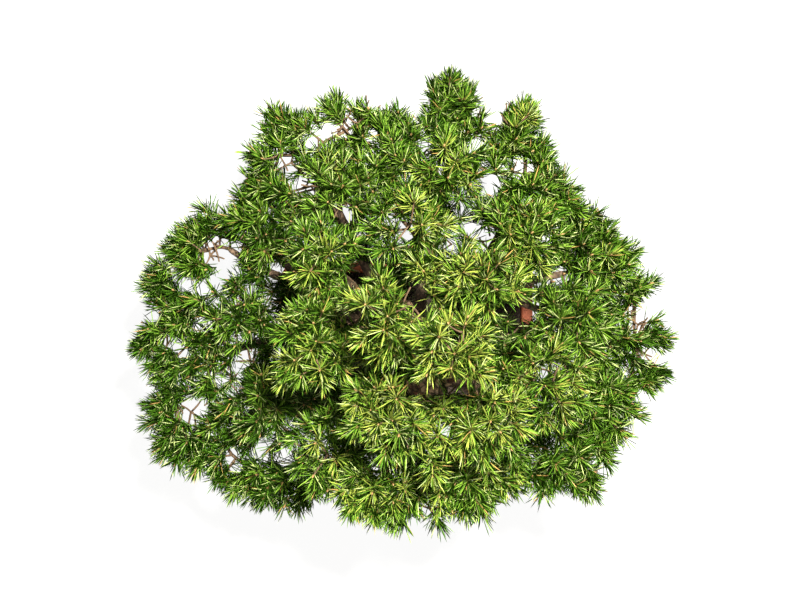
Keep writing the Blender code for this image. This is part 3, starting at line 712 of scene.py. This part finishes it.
def bark_limb(name, line, radii, sides, size, level, flare):
    """Makes a limb with plates, fissures and lumps in its surface."""
    bm, rings = limb(line, radii, sides, level)
    plate = bm.verts.layers.float["plate"]
    tone = bm.verts.layers.float["tone"]
    for vert in bm.verts:
        ring = rings[vert]
        middle = line[ring]
        out = (vert.co - middle).normalized()
        if flare:
            rise = vert.co.z - line[0].z
            bearing = math.degrees(math.atan2(out.y, out.x))
            vert.co += out * root_flare(bearing) * math.exp(-(rise / ROOT_FADE) ** ROOT_FADE_POWER)
        spot = Vector((vert.co.x, vert.co.y, vert.co.z * PLATE_STRETCH))
        vert[plate], vert[tone] = plate_height(spot, size)
        lump = noise.noise(vert.co / LUMP_SIZE)
        relief = FISSURE_DEPTH * (vert[plate] - 1) + PLATE_LIFT * (vert[tone] - 0.5) * vert[plate]
        vert.co += out * radii[ring] * (LUMP_DEPTH * lump + relief)
    for face in bm.faces:
        face.smooth = True
    bmesh.ops.recalc_face_normals(bm, faces=bm.faces)
    mesh = bpy.data.meshes.new(name)
    bm.to_mesh(mesh)
    bm.free()
    return mesh


def make_wood(lines):
    """Makes the trunk and every bough with the bark's relief."""
    old_bark = bark_material("old bark", (0.34, 0.19, 0.10), (0.86, 0.56, 0.34))
    young_bark = bark_material("young bark", (0.085, 0.052, 0.031), (0.28, 0.185, 0.115))
    fine = smooth_line(TRUNK_LINE, TRUNK_STEPS)
    spread = TRUNK_FOOT_RADIUS - TRUNK_TIP_RADIUS
    radii = [TRUNK_TIP_RADIUS + spread * (1 - step / (TRUNK_STEPS - 1)) ** TRUNK_TAPER_POWER
             for step in range(TRUNK_STEPS)]
    mesh = bark_limb("bark_trunk", fine, radii, TRUNK_SIDES, TRUNK_PLATE, True, True)
    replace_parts(place("bark_trunk", mesh, old_bark), "trunk")
    for name, (_, _, _, foot_radius) in BOUGHS.items():
        line = lines[name]
        length = sum((b - a).length for a, b in zip(line, line[1:]))
        steps = max(12, round(length / BOUGH_STEP))
        fine = smooth_line(line, steps)
        radii = []
        for step in range(steps):
            share = step / (steps - 1)
            radius = BOUGH_TIP_RADIUS + (foot_radius * MM - BOUGH_TIP_RADIUS) * (1 - share)
            radii.append(radius * (1 + COLLAR * math.exp(-share * length / COLLAR_FADE)))
        mesh = bark_limb("bark_" + name, fine, radii, BOUGH_SIDES, BOUGH_PLATE, False, False)
        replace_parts(place("bark_" + name, mesh, young_bark), "bough_" + name)


# Twigs, buds and needles

def needle_arrays(feet, headings, sides, lengths, bends):
    """Gives needles folded along a ridge: three corners at the foot, three at the waist, and the tip."""
    u = sides
    v = np.cross(headings, u)
    angle = np.arange(3) / 3 * math.tau
    ring = u[:, None] * np.cos(angle)[None, :, None] + v[:, None] * np.sin(angle)[None, :, None]
    waist = feet + headings * lengths[:, None] * NEEDLE_WAIST + bends * NEEDLE_WAIST ** 2
    tip = feet + headings * lengths[:, None] + bends
    lower = feet[:, None] + ring * NEEDLE_FOOT
    upper = waist[:, None] + ring * NEEDLE_MIDDLE
    return np.concatenate((lower, upper, tip[:, None]), axis=1)


NEEDLE_FACES = np.array([(0, 1, 4), (0, 4, 3), (1, 2, 5), (1, 5, 4), (3, 4, 6), (4, 5, 6)])


def make_tuft(bundles, luck):
    """Makes one tuft along +Z, its tip at the origin, and each needle's shade: a step of painted light and shade
    on the green ladder, a pale painted highlight, or straw.
    """
    count = bundles * BUNDLE_NEEDLES
    bundle = np.repeat(np.arange(bundles), BUNDLE_NEEDLES)
    share = (bundle + 0.5) / bundles
    turn = bundle * GOLDEN_TURN + luck.uniform(0, math.tau)
    lean = LOW_ANGLE + (HIGH_ANGLE - LOW_ANGLE) * share
    headings = np.stack((np.sin(lean) * np.cos(turn), np.sin(lean) * np.sin(turn), np.cos(lean)), axis=1)
    headings += luck.normal(0, BUNDLE_SPREAD, (count, 3))
    headings /= np.linalg.norm(headings, axis=1)[:, None]
    feet = np.zeros((count, 3))
    feet[:, 2] = (share - 1) * SHOOT_BARE
    sides = np.cross(headings, luck.normal(0, 1, (count, 3)))
    sides /= np.linalg.norm(sides, axis=1)[:, None]
    lengths = luck.uniform(*NEEDLE_LENGTH, count)
    bends = sides * (lengths * luck.uniform(-NEEDLE_BEND, NEEDLE_BEND, count))[:, None]
    bends[:, 2] += lengths * NEEDLE_BEND * 0.5
    needles = needle_arrays(feet, headings, sides, lengths, bends)
    return needles, luck.choice(len(SHADES), count, p=[share for _, share in SHADES])


def bud_arrays():
    """Gives a slim bud along +Z with its foot at the origin."""
    heights = (0.0, 0.35, 0.75)
    widths = (0.7, 1.0, 0.62)
    line = [(0, 0, height * BUD_LENGTH) for height in heights]
    return tube(line, [width * BUD_RADIUS for width in widths], BUD_SIDES)


def bowed(start, end, lift, count):
    """Gives the points of a twig that bows a little to one side."""
    run = end - start
    return bezier(start, start + run * 0.33 + lift, start + run * 0.7 + lift, end, count)


def knotted(foot, head, count, luck):
    """Gives the radii of a twig with knots from foot to head."""
    share = np.linspace(0, 1, count)
    return (foot + (head - foot) * share) * (1 + luck.uniform(-TWIG_KNOT, TWIG_KNOT, count))


def grow_shoots(site, lean, count, luck):
    """Spreads the shoots of one tuft: one in its middle, the rest round it."""
    spin = luck.uniform(0, math.tau)
    shoots = []
    for index in range(count):
        bearing = spin + math.tau * index / max(count - 1, 1) + luck.uniform(-SWING, SWING)
        out = Vector((math.cos(bearing), math.sin(bearing), 0)) * (1 if index else 0)
        reach = SHOOT_OUTS[index] * luck.uniform(0.8, 1.15) * (1 - SHOOT_INWARD * max(out.dot(lean), 0))
        stray = Vector([luck.uniform(-SHOOT_STRAY, SHOOT_STRAY) for _ in range(3)])
        share, away = crown_share(site)
        edge = away * CROWN_LEAN * share ** 2
        heading = (lean + UP * SHOOT_UPRIGHT + out * SHOOT_SPLAY + edge + stray).normalized()
        rise = SHOOT_RISE + luck.uniform(-SHOOT_LIFT, SHOOT_LIFT)
        shoots.append((site + out * reach + UP * rise, heading))
    return shoots


def colour_step(tip, luck):
    """Deals a shoot its green: painted light makes it brighter and yellower high up, painted shade darker low
    down.
    """
    height = (tip.z - 0.22) / 0.30
    return round(height * 1.9 + luck.gauss(1.25, 0.4))


def side_sites(lines, luck):
    """Gives the foot, site and lean of the side twigs along each bough's outer stretch."""
    found = []
    for name, line in lines.items():
        length = sum((b - a).length for a, b in zip(line, line[1:]))
        first, last = TOP_SHARES if name == "trunk" else SIDE_SHARES
        count = max(2, round((last - first) * length / SIDE_SPACING))
        hand = luck.choice((-1, 1))
        for index in range(count):
            share = first + (last - first) * (index + luck.uniform(0.2, 0.8)) / count
            foot = along(line, share)
            heading = (along(line, min(share + 0.1, 1)) - along(line, share - 0.1)).normalized()
            hand = -hand
            side = heading.cross(UP).normalized() * hand
            side.rotate(Quaternion(heading, luck.uniform(-0.6, 0.6)))
            out = (side + heading * luck.uniform(0.2, 0.8)).normalized()
            site = foot + out * SIDE_REACH * luck.uniform(0.7, 1.15) + UP * luck.uniform(*SIDE_RISE)
            found.append((foot, site, (UP + out * luck.uniform(0.2, 0.9)).normalized()))
    return found


def in_picture(points):
    """Gives where points show in the picture, from its left and from its top."""
    points = np.atleast_2d(points)
    scale = CAMERA_LENS / CAMERA_SENSOR * PICTURE_WIDTH / (CAMERA_PLACE[2] - points[:, 2])
    across = PICTURE_WIDTH / 2 + (points[:, 0] - CAMERA_PLACE[0]) * scale
    down = PICTURE_HEIGHT / 2 - (points[:, 1] - CAMERA_PLACE[1]) * scale
    return across, down


def in_clearing(points, share=1.0):
    """Tells which points stand in a share of a clearing, seen from the camera; each may have its own share."""
    across, down = in_picture(points)
    inside = np.zeros(len(across), bool)
    for middle_across, middle_down, radius in CLEARINGS:
        inside |= (across - middle_across) ** 2 + (down - middle_down) ** 2 < (radius * share) ** 2
    return inside


def blocks_light(points):
    """Tells which points stand between the key light and a place that it reaches."""
    found = np.zeros(len(points), bool)
    for *spot, radius in OPEN_TO_LIGHT:
        spot = np.array(spot) * MM
        way = np.array(KEY_PLACE) - spot
        way /= np.linalg.norm(way)
        run = (points - spot) @ way
        off = np.linalg.norm(points - spot - run[:, None] * way, axis=1)
        found |= (off < radius * MM) & (run > 0)
    return found


def is_clear(needles, draws):
    """Tells which needles leave every clearing open, some less than others, and the ways of the light."""
    share = draws.uniform(*NEEDLE_CLEARING, len(needles))
    corners = needles[:, 0], needles[:, 3], needles[:, 6]
    return ~np.any([in_clearing(points, share) | blocks_light(points) for points in corners], axis=0)


def grow_fork(foot, site, lean, count, grown, luck, draws):
    """Grows one twig from its foot to a fork, and the shoots on the fork."""
    share, away = crown_share(site)
    site = site - away * EDGE_PULL * max(share - EDGE_SHARE, 0)
    fork = site - lean * FORK_DROP
    lift = UP * -(fork - foot).length * TWIG_BOW
    grown["twigs"].append(tube(bowed(foot, fork, lift, TWIG_POINTS),
                               knotted(*TWIG_RADII, TWIG_POINTS, draws), TWIG_SIDES))
    for tip, heading in grow_shoots(site, lean, count, luck):
        turn = heading.to_track_quat("Z", "X") @ Quaternion(UP, luck.uniform(0, math.tau))
        kind = luck.randrange(TUFT_KINDS) + (TUFT_KINDS if is_inside(tip) else 0)
        size = luck.uniform(0.9, 1.08)
        step = colour_step(tip, luck)
        middle = np.array(tip)
        lift = heading * -(tip - fork).length * TWIG_BOW * 2
        grown["twigs"].append(tube(bowed(fork, tip, lift, FORK_POINTS),
                                   knotted(*FORK_RADII, FORK_POINTS, draws), TWIG_SIDES))
        if in_clearing(middle)[0]:
            continue
        grown["spots"].append(in_picture(middle))
        matrix = np.array(turn.to_matrix())
        bud_corners, bud_faces = grown["bud"]
        grown["buds"].append((bud_corners @ matrix.T + middle, bud_faces))
        needles, shades = grown["tufts"][kind]
        needles = needles @ matrix.T * size + middle
        clear = is_clear(needles, draws)
        # Needles go to the green of their step: lighter steps are painted light, darker ones painted shade
        for shade, (change, _) in enumerate(SHADES):
            grown["needles"][green(step, change)].append(needles[(shades == shade) & clear])


def crown_reach(bearing):
    """Gives how far the crown reaches at a bearing, in mm."""
    place_round = bearing % math.tau / math.tau * len(CROWN_REACH)
    index = int(place_round) % len(CROWN_REACH)
    after = CROWN_REACH[(index + 1) % len(CROWN_REACH)]
    return CROWN_REACH[index] + (after - CROWN_REACH[index]) * (place_round - int(place_round))


def crown_share(place_at):
    """Gives how far out in the crown a place is, from 0 to 1, and the way out."""
    scale = (CAMERA_PLACE[2] - CROWN_LEVEL) / (CAMERA_PLACE[2] - place_at[2])
    x = (CAMERA_PLACE[0] + (place_at[0] - CAMERA_PLACE[0]) * scale) / MM - CROWN_MIDDLE[0]
    y = (CAMERA_PLACE[1] + (place_at[1] - CAMERA_PLACE[1]) * scale) / MM - CROWN_MIDDLE[1]
    return math.hypot(x, y) / crown_reach(math.atan2(y, x)), Vector((x, y, 0)).normalized()


def is_inside(place_at):
    """Tells whether a place is well inside the crown, under its upper masses."""
    return crown_share(place_at)[0] < INSIDE_SHARE and place_at[2] < INSIDE_TOP


def limb_feet(lines):
    """Gives places along the outer stretch of every limb, where twigs may start."""
    feet = [along(lines[name], FILL_SHARE + (1 - FILL_SHARE) * step / 40)
            for name in lines if name != "trunk" for step in range(41)]
    return np.array([tuple(foot) for foot in feet])


def near_foot(feet, place_at):
    """Gives the foot that is nearest to a place, seen from above, and how far off it is."""
    away = np.hypot(*(feet[:, :2] - place_at).T)
    return feet[away.argmin()], away.min()


def grow_edge(feet, grown, luck, draws):
    """Grows the twigs whose tufts stick out of the crown's outline."""
    for across, down in EDGE_TUFTS:
        high = CROWN_LEVEL
        for _ in range(3):
            scale = CAMERA_LENS / CAMERA_SENSOR * PICTURE_WIDTH / (CAMERA_PLACE[2] - high)
            place_at = np.array((CAMERA_PLACE[0] + (across - PICTURE_WIDTH / 2) / scale,
                                 CAMERA_PLACE[1] - (down - PICTURE_HEIGHT / 2) / scale))
            foot, away = near_foot(feet, place_at)
            high = foot[2] + away * FILL_SLOPE + FILL_RISE[0]
        site = Vector((*place_at, high))
        site -= crown_share(site)[1] * EDGE_INSET
        foot = Vector(foot)
        lean = (UP + (site - foot).normalized() * EDGE_LEAN).normalized()
        grow_fork(foot, site, lean, EDGE_SHOOTS, grown, luck, draws)


def fill_crown(feet, grown, luck, draws):
    """Grows twigs from the nearest limb wherever the crown is still open."""
    most = max(CROWN_REACH)
    sites = [(x, y) for x in range(-most, most, FILL_STEP) for y in range(-most, most, FILL_STEP)]
    luck.shuffle(sites)
    for x, y in sites:
        x += luck.uniform(-0.4, 0.4) * FILL_STEP
        y += luck.uniform(-0.4, 0.4) * FILL_STEP
        place_at = np.array(((x + CROWN_MIDDLE[0]) * MM, (y + CROWN_MIDDLE[1]) * MM))
        foot, away = near_foot(feet, place_at)
        if away > FILL_MOST:
            continue
        site = Vector((*place_at, foot[2] + away * FILL_SLOPE + luck.uniform(*FILL_RISE)))
        if crown_share(site)[0] > FILL_EDGE:
            continue
        across, down = in_picture(tuple(site))
        taken = min(math.hypot(across[0] - a[0], down[0] - b[0]) for a, b in grown["spots"])
        if taken < FILL_SPACING or in_clearing(tuple(site))[0]:
            continue
        foot = Vector(foot)
        lean = (UP + (site - foot).normalized() * FILL_LEAN).normalized()
        grow_fork(foot, site, lean, FILL_SHOOTS, grown, luck, draws)


def green(step, change):
    """Gives the name of a green on the ladder, or of the one that the change names."""
    if change in GREENS:
        return change
    return LADDER[min(max(step + change, 0), len(LADDER) - 1)]


def grow_masses(lines):
    """Grows every mass and side twig: gives twigs, buds, and needles by colour."""
    draws = np.random.default_rng(SEED)
    tufts = [make_tuft(DENSE_BUNDLES, draws) for _ in range(TUFT_KINDS)]
    tufts += [make_tuft(THIN_BUNDLES, draws) for _ in range(TUFT_KINDS)]
    grown = {"twigs": [], "buds": [], "spots": [], "tufts": tufts, "bud": bud_arrays(),
             "needles": {kind: [] for kind in GREENS}}
    stems = {}
    for bough in ["trunk"] + list(BOUGHS):
        stems.update(stem_starts(bough, lines))
    lines_and_stems = dict(lines)
    for number, name in enumerate(MASSES):
        stem = stem_line(name, *stems[name])
        luck = random.Random(SEED + number)
        sites = tuft_sites(name, luck)
        fine = smooth_line([stem[0] - stems[name][1] * STEM_LEAD * 3] + stem, STEM_POINTS)
        share = np.linspace(0, 1, STEM_POINTS)
        radii = STEM_HEAD_RADIUS + (STEM_FOOT_RADIUS - STEM_HEAD_RADIUS) * (1 - share) ** 1.5
        radii *= 1 + draws.uniform(-0.08, 0.08, STEM_POINTS)
        grown["twigs"].append(tube(fine, radii, TWIG_SIDES + 2))
        lines_and_stems[name] = fine[STEM_POINTS // 2:]
        for site, lean in sites:
            grow_fork(twig_foot(stem, site), site, lean, len(SHOOT_OUTS), grown, luck, draws)
    luck = random.Random(SEED)
    for foot, site, lean in side_sites(lines, luck):
        grow_fork(foot, site, lean, SIDE_SHOOTS, grown, luck, draws)
    feet = limb_feet(lines_and_stems)
    grow_edge(feet, grown, luck, draws)
    fill_crown(feet, grown, luck, draws)
    return grown


def join_needles(kind, groups):
    """Joins needles of one green into pieces under the triangle limit."""
    corners = np.concatenate(groups)
    most = MOST_TRIANGLES // len(NEEDLE_FACES)
    material = needle_material(kind)
    made = []
    for part, start in enumerate(range(0, len(corners), most)):
        batch = corners[start:start + most]
        offsets = np.arange(len(batch)) * NEEDLE_CORNERS
        faces = (NEEDLE_FACES[None] + offsets[:, None, None]).reshape(-1, 3)
        mesh = from_arrays(f"needles_{kind}_{part + 1}", batch.reshape(-1, 3), faces)
        mesh.shade_smooth()
        made.append(place(mesh.name, mesh, material))
    return made


def make_foliage(lines):
    """Makes twigs, buds and needles in place of the source's masses."""
    grown = grow_masses(lines)
    bark = mottled("twig bark", (0.065, 0.038, 0.020), (0.21, 0.130, 0.070), 160, 1100, 0.5, 0.8, 0.7, 0.3 * MM)
    scales = mottled("bud scales", (0.27, 0.145, 0.050), (0.50, 0.320, 0.130), 400, 1500, 0.5, 0.6, 0.5, 0.2 * MM)
    mesh = from_arrays("twigs", *stack(grown["twigs"]))
    mesh.shade_smooth()
    place("twigs", mesh, bark)
    mesh = from_arrays("buds", *stack(grown["buds"]))
    mesh.shade_smooth()
    place("buds", mesh, scales)
    made = []
    for kind in GREENS:
        made += join_needles(kind, grown["needles"][kind])
    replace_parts(made[0], *["mass_" + name for name in MASSES])


# Pot and soil

MOSS_FACES = np.array([(0, 2, 1), (0, 1, 3), (1, 2, 3), (2, 0, 3)])


def soil_height(x, y):
    """Gives the soil's height at a place: level, sloping a little to the walls."""
    edge = min(POT_LENGTH / 2 - SOIL_INSET - abs(x), POT_WIDTH / 2 - SOIL_INSET - abs(y))
    share = min(max(edge / SOIL_SLOPE, 0), 1)
    return SOIL_EDGE + (SOIL_TOP - SOIL_EDGE) * share


def make_grains():
    """Strews grains of soil over its surface."""
    bm = bmesh.new()
    bmesh.ops.create_icosphere(bm, subdivisions=1, radius=1.0)
    corners = np.array([tuple(vert.co) for vert in bm.verts])
    faces = np.array([[vert.index for vert in face.verts] for face in bm.faces])
    bm.free()
    luck = np.random.default_rng(SEED)
    shapes = []
    while len(shapes) < GRAIN_COUNT:
        x = luck.uniform(-1, 1) * (POT_LENGTH / 2 - SOIL_INSET - 3 * MM)
        y = luck.uniform(-1, 1) * (POT_WIDTH / 2 - SOIL_INSET - 3 * MM)
        size = luck.uniform(*GRAIN_SIZE)
        lumps = 1 + luck.uniform(-0.22, 0.22, (len(corners), 1))
        squash = luck.uniform(0.65, 1.15, 3)
        z = soil_height(x, y) + size * luck.uniform(-0.3, 0.4)
        shapes.append((corners * lumps * squash * size + np.array((x, y, z)), faces))
    return from_arrays("soil_grains", *stack(shapes))


def make_moss():
    """Grows patches of moss on the soil, each of many short blades."""
    luck = np.random.default_rng(SEED)
    blades = []
    for _ in range(MOSS_TRIES):
        x = luck.uniform(-1, 1) * (POT_LENGTH / 2 - SOIL_INSET - 3 * MM)
        y = luck.uniform(-1, 1) * (POT_WIDTH / 2 - SOIL_INSET - 3 * MM)
        thick = noise.noise(Vector((x, y, 0)) / MOSS_PATCH) - MOSS_LEAST
        if thick < luck.uniform(0, 0.1):
            continue
        length = luck.uniform(*MOSS_LENGTH) * (1 + 2 * min(thick, 0.3))
        turn = luck.uniform(0, math.tau) + np.arange(3) / 3 * math.tau
        foot = np.array((x, y, soil_height(x, y)))
        ring = np.stack((np.cos(turn), np.sin(turn), np.zeros(3)), axis=1) * MOSS_RADIUS
        lean = luck.normal(0, MOSS_LEAN, 2) * length
        blades.append((np.concatenate((foot + ring, [foot + (*lean, length)])), MOSS_FACES))
    return from_arrays("moss", *stack(blades))


def make_pot_and_soil():
    """Gives pot and soil their finish, and strews the grains and the moss."""
    clay = mottled("clay", (0.30, 0.070, 0.032), (0.52, 0.140, 0.060), 22, 420, 0.35, 0.7, 0.35, 0.3 * MM)
    earth = mottled("earth", (0.012, 0.009, 0.006), (0.055, 0.038, 0.026), 90, 500, 0.5, 0.95, 0.8, 1.0 * MM)
    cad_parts["pot"].data.materials.clear()
    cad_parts["pot"].data.materials.append(clay)
    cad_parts["soil"].data.materials.clear()
    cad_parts["soil"].data.materials.append(earth)
    place("soil_grains", make_grains(), earth)
    moss = mottled("moss", (0.030, 0.050, 0.008), (0.105, 0.130, 0.022), 80, 700, 0.4, 0.9, 0.2, 0.2 * MM)
    place("moss", make_moss(), moss)


# Floor, light and camera

def seen_strength(tree, strength_socket, lighting, seen):
    """Gives a light one strength on the plant and another where it is seen."""
    strength = tree.nodes.new("ShaderNodeMapRange")
    strength.inputs["To Min"].default_value = lighting
    strength.inputs["To Max"].default_value = seen
    ray = tree.nodes.new("ShaderNodeLightPath")
    tree.links.new(ray.outputs["Is Camera Ray"], strength.inputs["Value"])
    tree.links.new(strength.outputs["Result"], strength_socket)


def make_floor():
    """Lays a plain pale floor under the pot."""
    bm = bmesh.new()
    bmesh.ops.create_grid(bm, x_segments=1, y_segments=1, size=FLOOR_REACH)
    mesh = bpy.data.meshes.new("floor")
    bm.to_mesh(mesh)
    bm.free()
    floor = bpy.data.objects.new("floor", mesh)
    bpy.context.scene.collection.objects.link(floor)
    white = bpy.data.materials.new("floor")
    white.use_nodes = True
    shader = white.node_tree.nodes["Principled BSDF"]
    shader.inputs["Base Color"].default_value = FLOOR_COLOUR
    shader.inputs["Roughness"].default_value = 0.9
    shader.inputs["Emission Color"].default_value = (1, 1, 1, 1)
    seen_strength(white.node_tree, shader.inputs["Emission Strength"], FLOOR_GLOW, FLOOR_WHITE)
    mesh.materials.append(white)


def add_light(name, place_at, size, power):
    """Adds a soft square light that looks at the crown."""
    data = bpy.data.lights.new(name, "AREA")
    data.color = LIGHT_COLOUR
    data.shape = "SQUARE"
    data.size = size
    data.energy = power
    light = bpy.data.objects.new(name, data)
    light.location = place_at
    aim = Vector((0, 0, 0.3)) - Vector(place_at)
    light.rotation_mode = "QUATERNION"
    light.rotation_quaternion = aim.to_track_quat("-Z", "Y")
    bpy.context.scene.collection.objects.link(light)


def make_light():
    """Sets the studio's lights and its even sky."""
    add_light("key", KEY_PLACE, KEY_SIZE, KEY_POWER)
    add_light("top", TOP_PLACE, TOP_SIZE, TOP_POWER)
    add_light("fill", FILL_PLACE, FILL_SIZE, FILL_POWER)
    for number, place_at in enumerate(LOW_PLACES):
        add_light(f"low_{number + 1}", place_at, LOW_SIZE, LOW_POWER)
    world = bpy.data.worlds.new("studio")
    world.use_nodes = True
    sky = world.node_tree.nodes["Background"]
    sky.inputs["Color"].default_value = (1, 1, 1, 1)
    seen_strength(world.node_tree, sky.inputs["Strength"], SKY_STRENGTH, BACKDROP_STRENGTH)
    bpy.context.scene.world = world
    bpy.context.scene.view_settings.view_transform = "Standard"


def make_camera():
    """Sets the camera straight above the tree, its top towards +Y."""
    data = bpy.data.cameras.new("camera")
    data.lens = CAMERA_LENS
    data.sensor_width = CAMERA_SENSOR
    data.clip_end = 100
    camera = bpy.data.objects.new("camera", data)
    camera.location = CAMERA_PLACE
    bpy.context.scene.collection.objects.link(camera)
    bpy.context.scene.camera = camera


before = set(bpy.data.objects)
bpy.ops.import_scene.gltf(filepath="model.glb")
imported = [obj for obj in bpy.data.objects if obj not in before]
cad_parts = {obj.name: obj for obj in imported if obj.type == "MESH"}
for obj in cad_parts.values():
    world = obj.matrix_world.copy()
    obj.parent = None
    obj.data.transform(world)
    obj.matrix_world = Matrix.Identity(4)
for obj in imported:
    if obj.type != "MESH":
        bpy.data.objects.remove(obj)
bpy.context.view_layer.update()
limbs = limb_lines()
make_wood(limbs)
make_foliage(limbs)
make_pot_and_soil()
make_floor()
make_light()
make_camera()
